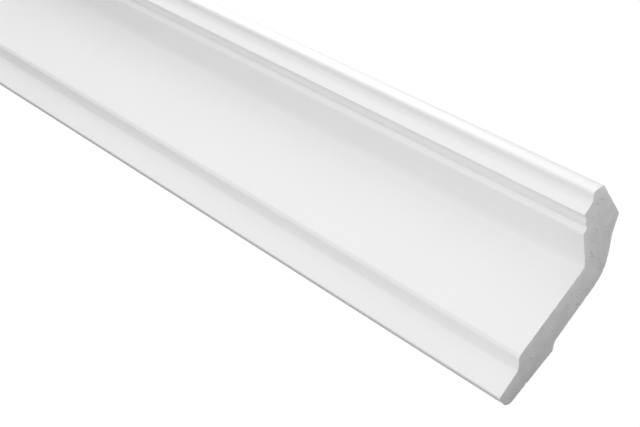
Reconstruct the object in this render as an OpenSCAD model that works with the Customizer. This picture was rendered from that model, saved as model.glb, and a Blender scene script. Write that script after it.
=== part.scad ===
// Crown moulding, a straight length with both ends cut square.
// Its section is one piece of foam: a ceiling pad behind the nosing, a web that
// carries the cove, and a wall pad behind the frieze. X runs along the length,
// +Y points into the wall, +Z up to the ceiling, and the origin is the middle of
// the wall pad. Section sizes are taken outwards from the wall and down from the
// ceiling.

/* [Overall] */
// Length between the two square cuts
length = 600; // [200:10:2400]
// Drop down the wall, from the ceiling to the foot
drop = 110; // [90:1:150]
// Reach along the ceiling, from the wall to the nosing
reach = 57.5; // [47:0.5:80]

/* [Nosing] */
// Radius of the nosing
nose_r = 2.1; // [1.4:0.1:2.2]
// Depth of the nosing's centre below the ceiling
nose_down = 6.4; // [5.4:0.1:6.8]
// Lean of the lower part of the nosing's face out of plumb, in degrees
nose_lean = 14; // [8:1:20]
// Lean of its upper part, in degrees
nose_top_lean = 33; // [22:1:42]
// Depth at which the one turns into the other
nose_turn_down = 2.6; // [1.8:0.1:3.2]
// Radius of that turn
nose_turn_r = 8; // [1:0.5:12]
// Slope of the nosing's underside out of level, in degrees
nose_under = 27; // [22:1:32]
// How far the quirk under the nosing is cut back from its front
quirk_back = 3.1; // [2.5:0.1:3.7]
// Radius in the quirk
quirk_r = 1.5; // [0.5:0.1:3]
// Depth at which the slope below the quirk turns towards plumb
quirk_turn_down = 12.2; // [10.5:0.1:14]
// How far that turn stands back from the nosing's front
quirk_turn_back = 4.5; // [4:0.1:5]
// Radius of that turn
quirk_turn_r = 8; // [1:0.5:12]

/* [Soffit] */
// Depth of the soffit's front edge below the ceiling
soffit_down = 18; // [15:0.1:22]
// How far the soffit's front edge stands back from the nosing
soffit_back = 5.4; // [4.5:0.1:7]
// Width of the flat lip along the soffit's front edge
lip_w = 2.5; // [1:0.1:4]
// Width of the sloped part behind the lip
ogee_w = 3.7; // [2:0.1:6]
// How far the sloped part comes down
ogee_drop = 1.9; // [0.5:0.1:3]
// Radius at both ends of the sloped part
ogee_r = 3; // [0.5:0.1:5]
// Width of the flat behind the sloped part
shelf_w = 1.9; // [1:0.1:4]
// Height of the bead that faces the room under the soffit
bead_h = 3.7; // [2:0.1:6]
// How far the bead falls back as it comes down
bead_back = 1.3; // [0:0.1:2]
// Radius of the bead's lower edge
bead_r = 1.2; // [0.2:0.1:3]

/* [Cove] */
// Distance of the cove's hollow from the wall
cove_out = 24.3; // [21:0.1:29.5]
// Depth of the cove's hollow below the ceiling
cove_down = 31.9; // [29:0.1:40]
// Radius in the cove's hollow
cove_r = 4.5; // [1:0.1:8]
// Distance of the cove's lower edge from the wall
cove_foot_out = 20; // [17:0.1:24]
// Height of the cove's lower edge above the foot
cove_foot_up = 23; // [21:0.1:27]

/* [Frieze] */
// Height of the frieze band above the foot
frieze_h = 16.4; // [12:0.1:18]
// Distance of the frieze's top edge from the wall
frieze_out = 13; // [11.5:0.1:16]
// Thickness of the foot
foot_w = 10.3; // [8.5:0.1:12.5]
// Height of the small edge over the splay
splay_edge_h = 2.3; // [1:0.1:3]
// How far that edge falls back as it comes down
splay_edge_back = 1.1; // [0:0.1:1.5]
// How deep the splay between cove and frieze is hollowed
splay_sag = 0.3; // [0:0.1:0.7]

/* [Back] */
// Height of the pad that is glued to the wall
wall_pad_h = 38.5; // [25:0.5:50]
// Depth of the pad that is glued to the ceiling
ceiling_pad_d = 24.2; // [18:0.1:30]
// How far the back stands clear of the wall above the wall pad
relief = 3.9; // [1:0.1:6]
// Height of the step up to the wall pad
step_h = 4.4; // [2:0.1:8]
// How deep that step is hollowed
step_sag = 0.4; // [0:0.1:0.9]
// Where the back would turn if it were not curved: distance from the wall
back_out = 8.2; // [6:0.1:10.5]
// Where the back would turn if it were not curved: depth below the ceiling
back_down = 23.3; // [19:0.1:28]
// Radius of the back's curve
back_r = 25; // [5:0.5:30]
// Width of the chamfer behind the ceiling pad
chamfer_w = 6.9; // [3:0.1:9]
// Height of that chamfer
chamfer_h = 9.3; // [5:0.1:12]

/* [Edges] */
// Radius of the crisp edges
edge_r = 0.4; // [0.1:0.1:0.8]
// Radius of the soft edges at the back
soft_r = 1.5; // [0.5:0.1:2.5]
// Radius of the foot's edge against the wall
foot_back_r = 4.9; // [1:0.1:6]
// Radius of the foot's edge towards the room
foot_front_r = 1.1; // [0.2:0.1:2]

/* [Hidden] */
// largest turn between two points of an arc, in degrees
arc_step = 3;
// share of a section edge that one of its two fillets may take
edge_share = 0.48;
// points between the ends of a hollowed slope
hollow_points = 5;

// nosing: the sharp tip that its radius rounds, so that the round ends at reach
nose_centre = [reach - nose_r, nose_down];
nose_half = (90 - nose_under + nose_lean) / 2;
nose_aim = (90 - nose_under - nose_lean) / 2;
nose_tip = nose_centre + nose_r / cos(nose_half) * [cos(nose_aim), sin(nose_aim)];
nose_turn = [nose_tip.x - (nose_tip.y - nose_turn_down) * tan(nose_lean), nose_turn_down];
nose_top = nose_turn.x - nose_turn.y * tan(nose_top_lean);
quirk_out = reach - quirk_back;
quirk_down = nose_tip.y + (nose_tip.x - quirk_out) * tan(nose_under);

// soffit and bead, each measured back from the one before
soffit_out = reach - soffit_back;
shelf_down = soffit_down + ogee_drop;
shelf_out = soffit_out - lip_w - ogee_w;
bead_out = shelf_out - shelf_w;

// cove, splay and frieze, measured up from the foot
cove_foot_down = drop - cove_foot_up;
splay_top = [cove_foot_out - splay_edge_back, cove_foot_down + splay_edge_h];
splay_foot = [frieze_out, drop - frieze_h];

// back
ceiling_back = nose_top - ceiling_pad_d;
wall_pad_down = drop - wall_pad_h;
step_foot = [0, wall_pad_down];
step_top = [relief, wall_pad_down - step_h];
origin_down = drop - wall_pad_h / 2;

function unit(v) = v / norm(v);
function place(corner) = [corner.x, corner.y];

// Points of the arc that rounds corner b between its neighbours a and c. The
// third value of b is its radius, cut down where an edge is too short for it.
function round_corner(a, b, c) =
    let (
        to_a = unit(place(a) - place(b)),
        to_c = unit(place(c) - place(b)),
        half = acos(to_a * to_c) / 2,
        room = edge_share * min(norm(place(a) - place(b)), norm(place(c) - place(b))),
        r = min(b[2], room * tan(half)),
        centre = place(b) + unit(to_a + to_c) * r / sin(half),
        from = place(b) + to_a * r / tan(half) - centre,
        turn = 180 - 2 * half,
        steps = max(1, ceil(turn / arc_step)),
        way = sign(to_c.x * to_a.y - to_c.y * to_a.x)
    )
    r <= 0 || turn < 0.5 ? [place(b)] :
    [for (i = [0 : steps])
        let (t = way * turn * i / steps)
        centre + [from.x * cos(t) - from.y * sin(t), from.x * sin(t) + from.y * cos(t)]];

// Corners between a and b, on a shallow hollow whose depth is sag at the middle.
function hollow(a, b, sag) =
    let (across = unit([a.y - b.y, b.x - a.x]))
    [for (i = [1 : hollow_points])
        let (t = i / (hollow_points + 1), p = a + (b - a) * t + across * sag * 4 * t * (1 - t))
        [p.x, p.y, 0]];

function rounded(corners) =
    let (n = len(corners))
    [for (i = [0 : n - 1])
        each round_corner(corners[(i + n - 1) % n], corners[i], corners[(i + 1) % n])];

// Corners of the section as [distance from the wall, depth below the ceiling,
// radius], from the ceiling down the face and back up behind.
section = concat(
    [
        [nose_top, 0, edge_r],
        [nose_turn.x, nose_turn.y, nose_turn_r],
        [nose_tip.x, nose_tip.y, nose_r],
        [quirk_out, quirk_down, quirk_r],
        [reach - quirk_turn_back, quirk_turn_down, quirk_turn_r],
        [soffit_out, soffit_down, edge_r],
        [soffit_out - lip_w, soffit_down, ogee_r],
        [shelf_out, shelf_down, ogee_r],
        [bead_out, shelf_down, edge_r],
        [bead_out - bead_back, shelf_down + bead_h / 2, soft_r],
        [bead_out - bead_back, shelf_down + bead_h, bead_r],
        [cove_out, cove_down, cove_r],
        [cove_foot_out, cove_foot_down, soft_r],
        [splay_top.x, splay_top.y, soft_r]
    ],
    hollow(splay_top, splay_foot, splay_sag),
    [
        [splay_foot.x, splay_foot.y, edge_r],
        [foot_w, drop, foot_front_r],
        [0, drop, foot_back_r],
        [step_foot.x, step_foot.y, edge_r]
    ],
    hollow(step_foot, step_top, step_sag),
    [
        [step_top.x, step_top.y, soft_r],
        [back_out, back_down, back_r],
        [ceiling_back - chamfer_w, chamfer_h, soft_r],
        [ceiling_back, 0, soft_r]
    ]
);

module moulding() {
    color("#f2f2f0")
    rotate([90, 0, 90])
    linear_extrude(height = length, center = true)
    polygon([for (p = rounded(section)) [-p.x, origin_down - p.y]]);
}

moulding();
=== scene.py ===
# A length of white foam crown moulding: its section is carried along X with the
# slight wander of an extrusion, and both ends are cut square through the foam.
import math
import bpy
import numpy as np
from mathutils import Matrix, Vector


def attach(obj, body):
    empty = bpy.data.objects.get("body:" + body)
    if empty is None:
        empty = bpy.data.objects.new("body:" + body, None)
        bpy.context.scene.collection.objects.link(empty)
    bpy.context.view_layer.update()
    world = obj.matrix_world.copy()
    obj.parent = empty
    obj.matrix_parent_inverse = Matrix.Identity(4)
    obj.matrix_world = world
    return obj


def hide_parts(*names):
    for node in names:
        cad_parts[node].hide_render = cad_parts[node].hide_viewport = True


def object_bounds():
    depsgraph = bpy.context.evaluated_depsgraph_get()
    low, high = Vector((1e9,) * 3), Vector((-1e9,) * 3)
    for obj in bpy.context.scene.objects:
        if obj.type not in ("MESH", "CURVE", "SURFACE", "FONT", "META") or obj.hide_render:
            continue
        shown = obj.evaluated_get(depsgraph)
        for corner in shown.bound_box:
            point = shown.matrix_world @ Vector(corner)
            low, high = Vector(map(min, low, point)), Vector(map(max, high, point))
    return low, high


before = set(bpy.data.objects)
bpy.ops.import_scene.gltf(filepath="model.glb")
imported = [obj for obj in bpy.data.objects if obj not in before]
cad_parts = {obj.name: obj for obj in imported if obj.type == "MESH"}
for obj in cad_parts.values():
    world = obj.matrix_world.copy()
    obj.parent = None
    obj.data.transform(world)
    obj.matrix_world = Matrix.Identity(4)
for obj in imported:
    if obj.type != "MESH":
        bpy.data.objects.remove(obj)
cadLow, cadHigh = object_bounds()
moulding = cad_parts["moulding"]
print("frame loaded", [round(v, 4) for v in cadLow], [round(v, 4) for v in cadHigh])

# camera: lens in mm, angles in degrees, the rest in metres. It is aimed at a point set
# in from the right-hand cut, the wall and the ceiling
shot = dict(lens=86.6, azimuth=44.24, elevation=-10.93, roll=40.69, distance=0.8831,
            fromCut=0.1679, fromWall=0.022, fromCeiling=0.0769, clip=(0.01, 200))


def makeCamera():
    data = bpy.data.cameras.new("camera")
    data.lens = shot["lens"]
    data.clip_start, data.clip_end = shot["clip"]
    camera = bpy.data.objects.new("camera", data)
    bpy.context.scene.collection.objects.link(camera)
    turn, lift = math.radians(shot["azimuth"]), math.radians(shot["elevation"])
    back = Vector((math.sin(turn) * math.cos(lift), -math.cos(turn) * math.cos(lift), math.sin(lift)))
    aim = cadHigh - Vector((shot["fromCut"], shot["fromWall"], shot["fromCeiling"]))
    upright = (-back).to_track_quat("-Z", "Y").to_matrix()
    roll = Matrix.Rotation(math.radians(shot["roll"]), 3, "Z")
    camera.matrix_world = Matrix.Translation(aim + back * shot["distance"]) @ (upright @ roll).to_4x4()
    bpy.context.scene.camera = camera


makeCamera()
print("camera placed")

# section: sizes in metres, degrees. Columns run from the face to the back and are
# partly even, partly closer together by both edges. Ties are pairs of places (out from
# the wall, down from the ceiling), one on the face and one on the back, that a row joins
section = dict(onCut=0.000002, fine=0.00005, ease=0.0002, flat=0.00002, turnWeight=0.0011,
               rowStep=0.00056, columns=44, evenColumns=0.75, sharpAngle=50,
               ties=[((0.0522, 0.0178), (0.0242, 0.0093)), ((0.0426, 0.0232), (0.0180, 0.0147)),
                     ((0.0250, 0.0316), (0.0090, 0.0270)), ((0.0197, 0.0890), (0.0000, 0.0900))])


def readSection():
    # the end of the CAD solid as one loop of (y, z): each side triangle with two
    # corners on the cut gives one step of the loop. Places are matched in microns
    mesh = moulding.data
    mesh.calc_loop_triangles()
    co = np.empty(len(mesh.vertices) * 3)
    mesh.vertices.foreach_get("co", co)
    tris = np.empty(len(mesh.loop_triangles) * 3, int)
    mesh.loop_triangles.foreach_get("vertices", tris)
    microns = np.round(co.reshape(-1, 3) * 1e6).astype(int)
    places, same = np.unique(microns, axis=0, return_inverse=True)
    tris = same.reshape(-1)[tris].reshape(-1, 3)
    onCut = places[:, 0] >= places[:, 0].max() - section["onCut"] * 1e6
    side = tris[onCut[tris].sum(1) == 2]
    after = {}
    for k in range(3):
        a, b = side[:, k], side[:, (k + 1) % 3]
        both = onCut[a] & onCut[b]
        after.update(zip(a[both].tolist(), b[both].tolist()))
    start = next(iter(after))
    walk = [start]
    while after[walk[-1]] != start:
        walk.append(after[walk[-1]])
    return places[walk][:, 1:] / 1e6


def evenLoop(points):
    # the loop again at even fine steps
    closed = np.vstack([points, points[:1]])
    run = np.concatenate([[0], np.cumsum(np.hypot(*np.diff(closed, axis=0).T))])
    at = np.linspace(0, run[-1], int(run[-1] / section["fine"]), endpoint=False)
    return np.stack([np.interp(at, run, closed[:, k]) for k in range(2)], 1)


def easeLoop(loop):
    # corners eased: the loop's waves fade by a Gaussian of their pace
    pace = np.fft.fftfreq(len(loop), section["fine"]) * 2 * np.pi
    fade = np.exp(-0.5 * (pace * section["ease"]) ** 2)[:, None]
    return np.real(np.fft.ifft(np.fft.fft(loop, axis=0) * fade, axis=0))


def splitSides(loop):
    # face and back as two lines, both from the ceiling down to the foot
    y, z = loop.T
    if np.dot(y, np.roll(z, -1)) < np.dot(z, np.roll(y, -1)):
        loop = loop[::-1]
        y, z = loop.T
    top = np.nonzero(z > z.max() - section["flat"])[0]
    foot = np.nonzero(z < z.min() + section["flat"])[0]
    faceTop, backTop = top[np.argmin(y[top])], top[np.argmax(y[top])]
    faceFoot, backFoot = foot[np.argmin(y[foot])], foot[np.argmax(y[foot])]
    face = np.roll(loop, -faceTop, 0)[: (faceFoot - faceTop) % len(loop) + 1]
    back = np.roll(loop, -backFoot, 0)[: (backTop - backFoot) % len(loop) + 1][::-1]
    return face, back


def measureLine(line):
    # distance along the line, counted longer where it turns
    dy, dz = np.diff(line, axis=0).T
    turn = np.abs(np.gradient(np.unwrap(np.arctan2(dz, dy))))
    return np.concatenate([[0], np.cumsum(np.hypot(dy, dz) + section["turnWeight"] * turn)])


def tieRows(face, back):
    # matching points down the face and the back, evenly spread between the ties
    lines = (face, back)
    runs = [measureLine(line) for line in lines]
    stops = [[0], [0]]
    for tie in section["ties"]:
        for line, (out, down), stop in zip(lines, tie, stops):
            stop.append(np.hypot(*(line - (cadHigh.y - out, cadHigh.z - down)).T).argmin())
    rows = [[], []]
    for line, stop in zip(lines, stops):
        stop.append(len(line) - 1)
    for k in range(len(stops[0]) - 1):
        ends = [(run[stop[k]], run[stop[k + 1]]) for run, stop in zip(runs, stops)]
        count = math.ceil(max(b - a for a, b in ends) / section["rowStep"])
        for line, run, end, row in zip(lines, runs, ends, rows):
            at = np.linspace(*end, count, endpoint=False)
            row.append(np.stack([np.interp(at, run, line[:, c]) for c in range(2)], 1))
    return [np.vstack([*row, line[-1:]]) for row, line in zip(rows, lines)]


facePoints, backPoints = tieRows(*splitSides(easeLoop(evenLoop(readSection()))))
rowCount, columnCount = len(facePoints) - 1, section["columns"]
print("section read:", rowCount, "rows by", columnCount, "columns")


def waves(places, size, seed, terms=24, spread=(0.7, 1.9)):
    # smooth random field, mostly within -1 to 1: a sum of cosines of many headings
    # whose wavelengths are size x a random share within spread
    rng = np.random.default_rng(seed)
    ways = rng.normal(size=(terms, places.shape[-1]))
    ways /= np.linalg.norm(ways, axis=1, keepdims=True)
    pace = 2 * np.pi / (size * rng.uniform(*spread, terms))
    start = rng.uniform(0, 2 * np.pi, terms)
    return np.cos(places @ (ways * pace[:, None]).T + start).sum(-1) / math.sqrt(terms)


def aboutHalf(field, gain=0.5, most=1):
    # a field that lies about zero moved to lie about a half, kept within 0 and most
    return (0.5 + gain * field).clip(0, most)


# skin: sizes in metres. All of it moves the surface inwards: a slow wander along the
# length, lines that the die leaves, and the edge torn a little by each cut
skin = dict(stations=72, endStep=0.0004, halvings=60, rim=0.00025, rimInset=0.00005,
            wander=0.00008, wanderAlong=0.26, wanderAcross=0.09, wanderGain=0.4, wanderSeed=3,
            dieLines=0.00002, dieLineWidth=0.004, dieLineSeed=7,
            tear=0.00018, tearLength=0.0024, tearReach=0.0006, tearMost=2, tearSeed=13)


def stationPlaces():
    # distances along X from the middle: the step grows by an even factor from each cut,
    # and the factor is found by halving
    half, side = cadHigh.x - skin["rim"], skin["stations"] // 2
    low, high = 1.0, 2.0
    for _ in range(skin["halvings"]):
        grow = (low + high) / 2
        total = skin["endStep"] * (grow ** side - 1) / (grow - 1)
        low, high = (grow, high) if total < half else (low, grow)
    inner = half - np.concatenate([[0], np.cumsum(skin["endStep"] * grow ** np.arange(side))])
    inner[-1] = 0
    near = np.concatenate([[cadHigh.x], inner])
    return np.concatenate([-near, near[::-1][1:]])


def sectionRing(share):
    # closed ring of (y, z): down the face, across the foot, up the back, across the top
    foot = facePoints[-1] + (backPoints[-1] - facePoints[-1]) * share[1:, None]
    top = facePoints[0] + (backPoints[0] - facePoints[0]) * share[::-1][1:-1, None]
    return np.vstack([facePoints, foot, backPoints[::-1][1:], top])


def carrySkin(ring, stations):
    # the ring at every station, each point moved along its inward normal by
    # wander field + die lines + torn edge x Gaussian of the distance from the cut.
    # The tears of the two ends are read from places far apart, so they differ
    grid = np.empty((len(stations), len(ring), 3))
    grid[..., 0] = stations[:, None]
    grid[..., 1:] = ring
    way = np.roll(ring, -1, 0) - np.roll(ring, 1, 0)
    inward = np.stack([-way[:, 1], way[:, 0]], 1) / np.linalg.norm(way, axis=1, keepdims=True)
    slow = grid / [skin["wanderAlong"], skin["wanderAcross"], skin["wanderAcross"]]
    stray = skin["wander"] * aboutHalf(waves(slow, 1, skin["wanderSeed"]), skin["wanderGain"])
    stray += skin["dieLines"] * aboutHalf(waves(ring, skin["dieLineWidth"], skin["dieLineSeed"]))
    torn = waves(grid[..., 1:] + np.sign(grid[..., :1]), skin["tearLength"], skin["tearSeed"])
    fromCut = cadHigh.x - np.abs(grid[..., 0])
    torn = torn.clip(0, skin["tearMost"]) ** 2
    stray += skin["tear"] * torn * np.exp(-(fromCut / skin["tearReach"]) ** 2)
    stray[[0, -1]] += skin["rimInset"]
    grid[..., 1:] += inward * stray[..., None]
    return grid


# cut: sizes in metres, depths into the foam. The saw's ripple runs along a way (y, z),
# sways and swells. A torn cell is a bowl, darkened by painted shade that grows with its
# depth up to darkFrom, and a lip that lies lipAway half widths to its side
cut = dict(level=0.00014, sawDepth=0.00008, sawPitch=0.0045, sawWay=(0.34, 0.94),
           swaySize=0.03, swaySeed=31, swellSize=0.02, swellGain=0.4, swellSeed=41,
           grain=0.00006, grainSize=0.0011, grainMost=1.5, grainSeed=51,
           bowlEdge=1.5, bowlShare=0.75, paintedBowlShade=0.25, darkFrom=0.0008,
           lipHeight=0.00008, lipAway=1.7, paleLip=0.2,
           # the two gradients below are painted light: the cut is paler towards the ceiling and the face,
           # darker towards the foot and the back
           pale=0.57, paintedLightToCeiling=0.27, paintedLightToFace=0.20, mottle=0.03, mottleSize=0.009, mottleSeed=61)
# torn cells, scattered at random: small ones lie anyhow, large ones mostly one way.
# Half widths, lengths as multiples of them (least, usual, most), headings in degrees
# with their spread, and how many columns at either edge hold no cell centre
smallCells = dict(count=46, across=(0.0002, 0.00045), longer=(1, 1.5, 2.2), heading=35, spread=90,
                  depth=(0.0001, 0.0005), lip=(0, 0.6), inset=0, seed=5)
largeCells = dict(count=30, across=(0.0003, 0.0005), longer=(1, 2, 7), heading=35, spread=9,
                  depth=(0.0001, 0.0006), lip=(0, 1), inset=7, seed=21)


def scatterCells(y, z, sort, end):
    # rows of: out from the wall, down from the ceiling, half length, half width,
    # heading, depth, strength of the raised lip, which lies on either side
    rng = np.random.default_rng(sort["seed"] + end)
    count, inset = sort["count"], sort["inset"]
    spot = rng.integers(0, y.shape[0], count), rng.integers(inset, y.shape[1] - inset, count)
    across = rng.uniform(*sort["across"], count)
    along = across * rng.triangular(*sort["longer"], count)
    heading = rng.normal(sort["heading"], sort["spread"], count) + 180 * rng.integers(0, 2, count)
    deep, lip = rng.uniform(*sort["depth"], count), rng.uniform(*sort["lip"], count)
    return np.stack([cadHigh.y - y[spot], cadHigh.z - z[spot], along, across, heading, deep, lip], 1)


def tearCut(y, z, share, end):
    # depth into the foam: level + saw ripple + grain + torn cells, each a flat-bottomed
    # oval bowl less a raised lip beside it. Paleness: painted light paler towards the ceiling
    # and the face, + soft mottling + lips - painted shade in the bowls
    places = np.stack([y, z], -1)
    sway = waves(places, cut["swaySize"], cut["swaySeed"] + end)
    swell = aboutHalf(waves(places, cut["swellSize"], cut["swellSeed"] + end), cut["swellGain"])
    ripple = 0.5 + 0.5 * np.cos(2 * np.pi * (places @ cut["sawWay"]) / cut["sawPitch"] + sway)
    grain = aboutHalf(waves(places, cut["grainSize"], cut["grainSeed"] + end), most=cut["grainMost"])
    depth = cut["level"] + cut["sawDepth"] * ripple * swell + cut["grain"] * grain
    height = (z - cadLow.z) / (cadHigh.z - cadLow.z)
    # painted light: paler towards the ceiling and towards the face, darker towards the foot and the back
    pale = cut["pale"] + cut["paintedLightToCeiling"] * (height - 0.5) + cut["paintedLightToFace"] * (0.5 - share)
    pale += cut["mottle"] * waves(places, cut["mottleSize"], cut["mottleSeed"] + end)
    cells = np.vstack([scatterCells(y, z, sort, end) for sort in (smallCells, largeCells)])
    for out, down, along, across, heading, deep, strength in cells:
        dy, dz = cadHigh.y - out - y, cadHigh.z - down - z
        c, s = math.cos(math.radians(heading)), math.sin(math.radians(heading))
        u, v = (dy * c + dz * s) / along, (dz * c - dy * s) / across
        bowl = np.exp(-(u ** 2 + v ** 2) ** cut["bowlEdge"])
        lip = strength * np.exp(-(u ** 2 + (v - cut["lipAway"]) ** 2) ** cut["bowlEdge"])
        depth += cut["bowlShare"] * deep * bowl - cut["lipHeight"] * lip
        # painted shade darkens each bowl's hollow, the lip is paler
        pale += cut["paleLip"] * lip - cut["paintedBowlShade"] * bowl * min(1, deep / cut["darkFrom"])
    return depth, pale


# bake map: shares of the square. The skin takes the left part, the cuts the right
bakeMap = dict(edge=0.01, skinRight=0.71, skinEven=0.3, cutLeft=0.73, cutHeight=0.48)


def gridFaces(index, u, v):
    # quads between neighbours of a grid of point numbers, and their corners' map places
    i, j = np.meshgrid(np.arange(index.shape[0] - 1), np.arange(index.shape[1] - 1), indexing="ij")
    rows, columns = np.stack([i, i + 1, i + 1, i], -1), np.stack([j, j, j + 1, j + 1], -1)
    uv = np.stack([u[rows, columns], v[rows, columns]], -1)
    return index[rows, columns].reshape(-1, 4), uv.reshape(-1, 4, 2)


def skinFaces(grid, stations):
    # the skin's quads. On the map, stations lie between their true and an even spacing
    stationCount, ringCount = grid.shape[:2]
    index = np.arange(stationCount * ringCount).reshape(stationCount, ringCount)
    index = np.hstack([index, index[:, :1]])
    steps = np.diff(grid[0, [*range(ringCount), 0], 1:], axis=0)
    run = np.concatenate([[0], np.cumsum(np.hypot(*steps.T))])
    edge, right, even = bakeMap["edge"], bakeMap["skinRight"], bakeMap["skinEven"]
    true = 0.5 + stations / (2 * cadHigh.x)
    along = even * np.linspace(0, 1, stationCount) + (1 - even) * true
    u, v = np.meshgrid(edge + (right - edge) * along, edge + (1 - 2 * edge) * run / run[-1], indexing="ij")
    return gridFaces(index, u, v)


def cutSheet(rim, station, end, share, firstPoint, total):
    # one cut: rows ruled straight from the face to the back, moved into the foam.
    # Its outer points are the skin's own last ring
    face = rim[: rowCount + 1, 1:]
    back = rim[rowCount + columnCount: 2 * rowCount + columnCount + 1, 1:][::-1]
    yz = face[:, None] + (back - face)[:, None] * share[None, :, None]
    depth, pale = tearCut(yz[..., 0], yz[..., 1], share, end)
    x = station - math.copysign(1, station) * depth
    row, column = np.meshgrid(np.arange(rowCount + 1), np.arange(columnCount + 1), indexing="ij")
    onRim = (row == 0) | (row == rowCount) | (column == 0) | (column == columnCount)
    place = np.where(column == 0, row, np.where(row == rowCount, rowCount + column,
                     np.where(column == columnCount, 2 * rowCount + columnCount - row,
                              (2 * rowCount + 2 * columnCount - column) % len(rim))))
    index = np.where(onRim, firstPoint + place, 0)
    index[~onRim] = total + np.arange((~onRim).sum())
    height = bakeMap["cutHeight"]
    scale = height / (cadHigh.z - cadLow.z)
    u = bakeMap["cutLeft"] + (cadHigh.y - yz[..., 0]) * scale
    v = bakeMap["edge"] + end * (1 - height - 2 * bakeMap["edge"]) + (yz[..., 1] - cadLow.z) * scale
    faces, uv = gridFaces(index, u, v)
    inner = np.concatenate([x[..., None], yz], -1)[~onRim]
    return inner, pale[~onRim], faces, uv


def makeMoulding():
    even, evenShare = np.linspace(0, 1, columnCount + 1), section["evenColumns"]
    share = evenShare * even + (1 - evenShare) * (0.5 - 0.5 * np.cos(np.pi * even))
    stations = stationPlaces()
    grid = carrySkin(sectionRing(share), stations)
    points, pales = [grid.reshape(-1, 3)], [np.full(grid.size // 3, cut["pale"])]
    faces, uv = skinFaces(grid, stations)
    faces, uvs, slots = [faces], [uv], [np.zeros(len(faces), int)]
    for end, k in ((0, 0), (1, len(stations) - 1)):
        first, total = k * grid.shape[1], sum(len(p) for p in points)
        inner, pale, quads, uv = cutSheet(grid[k], stations[k], end, share, first, total)
        turn = 1 if end == 0 else -1
        points.append(inner)
        pales.append(pale)
        faces.append(quads[:, ::turn])
        uvs.append(uv[:, ::turn])
        slots.append(np.ones(len(quads), int))
    points, pales = np.vstack(points), np.concatenate(pales)
    faces, uvs, slots = np.vstack(faces), np.vstack(uvs), np.concatenate(slots)

    # all faces look out of the foam: the volume they enclose comes out above zero
    a, b, c, d = (points[faces[:, n]] for n in range(4))
    volume = (np.cross(a, b) * c + np.cross(a, c) * d).sum() / 6
    if volume < 0:
        faces, uvs = faces[:, ::-1], uvs[:, ::-1]
    triangles, mm3 = 2 * len(faces), round(abs(volume) * 1e9)
    print("moulding:", len(points), "points,", triangles, "triangles,", mm3, "mm3")

    mesh = bpy.data.meshes.new("mouldingSurface")
    mesh.from_pydata(points.tolist(), [], faces.tolist())
    mesh.polygons.foreach_set("material_index", slots)
    mesh.polygons.foreach_set("use_smooth", np.ones(len(faces), bool))
    mesh.uv_layers.new(name="OFBake").uv.foreach_set("vector", uvs.ravel())
    # the attribute carries the cut's tone with its painted light and painted shade
    mesh.attributes.new("toneAndPaintedShade", "FLOAT", "POINT").data.foreach_set("value", pales)
    mesh.update()
    mesh.set_sharp_from_angle(angle=math.radians(section["sharpAngle"]))
    piece = bpy.data.objects.new("mouldingSurface", mesh)
    bpy.context.scene.collection.objects.link(piece)
    return piece


piece = makeMoulding()
print("moulding modelled")


class Sock:
    # an output socket: arithmetic on it adds Math nodes to its material
    def __init__(self, nodes, socket):
        self.nodes, self.socket = nodes, socket

    def math(self, operation, a, b):
        return self.nodes.add("ShaderNodeMath", dict(operation=operation), {0: a, 1: b})

    def __add__(self, other):
        return self.math("ADD", self, other)

    def __radd__(self, other):
        return self.math("ADD", other, self)

    def __sub__(self, other):
        return self.math("SUBTRACT", self, other)

    def __rsub__(self, other):
        return self.math("SUBTRACT", other, self)

    def __mul__(self, other):
        return self.math("MULTIPLY", self, other)

    def __rmul__(self, other):
        return self.math("MULTIPLY", other, self)


class Nodes:
    # adds nodes to one tree, settings first and then the sockets' values or links
    def __init__(self, tree):
        self.tree = tree
        tree.nodes.clear()

    def add(self, kind, settings, sockets, out=0):
        node = self.tree.nodes.new(kind)
        for name, value in settings.items():
            setattr(node, name, value)
        for name, value in sockets.items():
            if isinstance(value, Sock):
                self.tree.links.new(value.socket, node.inputs[name])
            else:
                node.inputs[name].default_value = value
        return Sock(self, node.outputs[out]) if len(node.outputs) else None

    def blend(self, factor, a, b):
        settings = dict(data_type="RGBA", clamp_factor=True)
        return self.add("ShaderNodeMix", settings, {0: factor, 6: a, 7: b}, 2)

    def noise(self, places, size, detail):
        return self.add("ShaderNodeTexNoise", {}, {"Vector": places, "Scale": 1 / size, "Detail": detail})

    def bump(self, height, strength):
        sockets = {"Strength": strength, "Distance": 1.0, "Height": height}
        return self.add("ShaderNodeBump", {}, sockets)


def newMaterial(name):
    material = bpy.data.materials.new(name)
    material.use_nodes = True
    return material, Nodes(material.node_tree)


# skin: light, low-sheen extruded skin over the foam, sizes in metres. Clouds and waves
# are drawn out along the length by the stretch
skinLook = dict(light=(0.90, 0.90, 0.90, 1), shade=(0.88, 0.88, 0.88, 1), stretch=0.3,
                cloudSize=0.03, cloudDetail=4, pebbleSize=0.0009, pebbleDetail=2, pebbleHeight=0.00002,
                waveSize=0.012, waveDetail=1, waveHeight=0.00005, bump=0.5,
                roughness=0.42, roughnessSpread=0.12, glow=0.15, glowReach=0.002)


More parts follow.
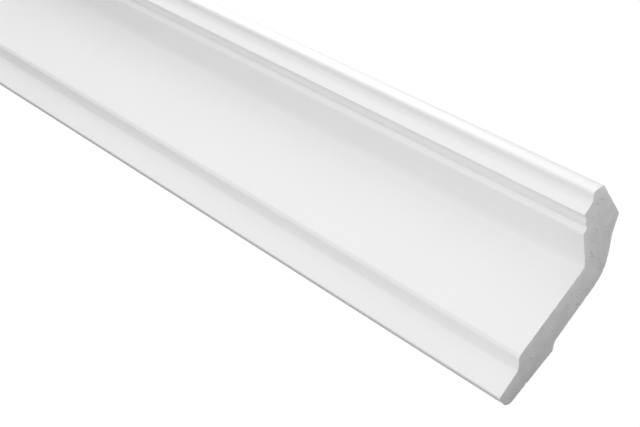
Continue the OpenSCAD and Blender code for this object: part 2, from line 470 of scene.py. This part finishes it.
def skinMaterial():
    material, nodes = newMaterial("foamSkin")
    places = nodes.add("ShaderNodeTexCoord", {}, {}, "Object")
    stretched = nodes.add("ShaderNodeMapping", {}, {"Vector": places, "Scale": (skinLook["stretch"], 1, 1)})
    cloud = nodes.noise(stretched, skinLook["cloudSize"], skinLook["cloudDetail"])
    pebble = nodes.noise(places, skinLook["pebbleSize"], skinLook["pebbleDetail"])
    wave = nodes.noise(stretched, skinLook["waveSize"], skinLook["waveDetail"])
    height = pebble * skinLook["pebbleHeight"] + wave * skinLook["waveHeight"]
    shader = nodes.add("ShaderNodeBsdfPrincipled", {}, {
        "Base Color": nodes.blend(cloud, skinLook["shade"], skinLook["light"]),
        "Roughness": skinLook["roughness"] + skinLook["roughnessSpread"] * cloud,
        "Subsurface Weight": skinLook["glow"], "Subsurface Radius": (1, 1, 1),
        "Subsurface Scale": skinLook["glowReach"], "Normal": nodes.bump(height, skinLook["bump"])})
    nodes.add("ShaderNodeOutputMaterial", {}, {"Surface": shader})
    return material


# cut foam: duller than the skin, with open cells, sizes in metres. Its colour runs from
# dark to pale by the mesh's own attribute of tone with painted light and shade, a little clouded
cutLook = dict(dark=(0.32, 0.32, 0.32, 1), pale=(0.96, 0.96, 0.96, 1),
               cloud=0.05, cloudSize=0.006, cloudDetail=4, cellSize=0.00045, cellSpread=0.03,
               cellHeight=0.00008, bump=0.5, roughness=0.85, specular=0.25, glow=0.3, glowReach=0.004)


def cutMaterial():
    material, nodes = newMaterial("cutFoam")
    places = nodes.add("ShaderNodeTexCoord", {}, {}, "Object")
    cellScale = 1 / cutLook["cellSize"]
    cell = nodes.add("ShaderNodeTexVoronoi", dict(feature="F1"), {"Vector": places, "Scale": cellScale})
    cloud = nodes.noise(places, cutLook["cloudSize"], cutLook["cloudDetail"])
    # the cut's tone with its painted light and painted shade
    toneAndPaintedShade = nodes.add("ShaderNodeAttribute", dict(attribute_name="toneAndPaintedShade"), {}, "Fac")
    toneAndPaintedShade = toneAndPaintedShade + cutLook["cloud"] * (cloud - 0.5) - cutLook["cellSpread"] * cell
    bump = nodes.bump(cell * -cutLook["cellHeight"], cutLook["bump"])
    shader = nodes.add("ShaderNodeBsdfPrincipled", {}, {
        "Base Color": nodes.blend(toneAndPaintedShade, cutLook["dark"], cutLook["pale"]),
        "Roughness": cutLook["roughness"], "Specular IOR Level": cutLook["specular"],
        "Subsurface Weight": cutLook["glow"], "Subsurface Radius": (1, 1, 1),
        "Subsurface Scale": cutLook["glowReach"], "Normal": bump})
    nodes.add("ShaderNodeOutputMaterial", {}, {"Surface": shader})
    return material


piece.data.materials.append(skinMaterial())
piece.data.materials.append(cutMaterial())
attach(piece, "root")
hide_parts("moulding")
print("materials made")

# studio: metres and watts. The floor is half clear, and fades away between two distances.
# Lamps are soft discs, each given by its way from the aim, distance, width and power
studio = dict(floorDown=1.2, floorSize=12, floorFade=(1.0, 5.0), floorShown=0.5,
              floorColour=(0.9, 0.9, 0.9, 1), floorRoughness=0.9, ambient=0.18, background=1.05,
              aim=(0.1, -0.03, 0.04),
              lamps=dict(highLeft=((-0.7, -0.5, 0.6), 2.0, 1.2, 21.9),
                         lowRight=((0.6, -0.5, -0.6), 2.0, 1.2, 21.3),
                         front=((-0.15, -1, 0.05), 1.0, 0.6, 3.4),
                         right=((1, -0.1, 0.1), 2.0, 1.2, 5.5),
                         overhead=((0, -0.1, 1), 1.2, 0.7, 3.4),
                         behind=((-0.5, 1, 0.4), 0.9, 0.6, 3.2)))


def makeFloor():
    half, z = studio["floorSize"] / 2, cadLow.z - studio["floorDown"]
    mesh = bpy.data.meshes.new("floor")
    corners = [(-half, -half, z), (half, -half, z), (half, half, z), (-half, half, z)]
    mesh.from_pydata(corners, [], [(0, 1, 2, 3)])
    floor = bpy.data.objects.new("floor", mesh)
    bpy.context.scene.collection.objects.link(floor)
    material, nodes = newMaterial("paleFloor")
    places = nodes.add("ShaderNodeTexCoord", {}, {}, "Object")
    flat = nodes.add("ShaderNodeVectorMath", dict(operation="MULTIPLY"), {0: places, 1: (1, 1, 0)})
    away = nodes.add("ShaderNodeVectorMath", dict(operation="LENGTH"), {0: flat}, "Value")
    near, far = studio["floorFade"]
    fade = nodes.add("ShaderNodeMapRange", dict(interpolation_type="SMOOTHSTEP"),
                     {"Value": away, "From Min": near, "From Max": far})
    pale = nodes.add("ShaderNodeBsdfPrincipled", {}, {
        "Base Color": studio["floorColour"], "Roughness": studio["floorRoughness"]})
    clear = nodes.add("ShaderNodeBsdfTransparent", {}, {})
    shown = (1 - fade) * studio["floorShown"]
    mixed = nodes.add("ShaderNodeMixShader", {}, {0: shown, 1: clear, 2: pale})
    nodes.add("ShaderNodeOutputMaterial", {}, {"Surface": mixed})
    mesh.materials.append(material)


def makeLamps():
    for name, (way, distance, width, power) in studio["lamps"].items():
        data = bpy.data.lights.new(name, "AREA")
        data.shape, data.size, data.energy = "DISK", width, power
        lamp = bpy.data.objects.new(name, data)
        bpy.context.scene.collection.objects.link(lamp)
        away = Vector(way).normalized()
        lamp.location = Vector(studio["aim"]) + away * distance
        lamp.rotation_euler = away.to_track_quat("Z", "Y").to_euler()
        lamp.visible_camera = False


def makeSky():
    # the camera sees plain white, everything else is lit by a dimmer even sky
    world = bpy.data.worlds.new("studio")
    world.use_nodes = True
    bpy.context.scene.world = world
    nodes = Nodes(world.node_tree)
    seen = nodes.add("ShaderNodeLightPath", {}, {}, "Is Camera Ray")
    strength = seen * (studio["background"] - studio["ambient"]) + studio["ambient"]
    sky = nodes.add("ShaderNodeBackground", {}, {"Color": (1, 1, 1, 1), "Strength": strength})
    nodes.add("ShaderNodeOutputWorld", {}, {"Surface": sky})
    bpy.context.scene.view_settings.view_transform = "Standard"


makeFloor()
makeLamps()
makeSky()
print("studio lit")
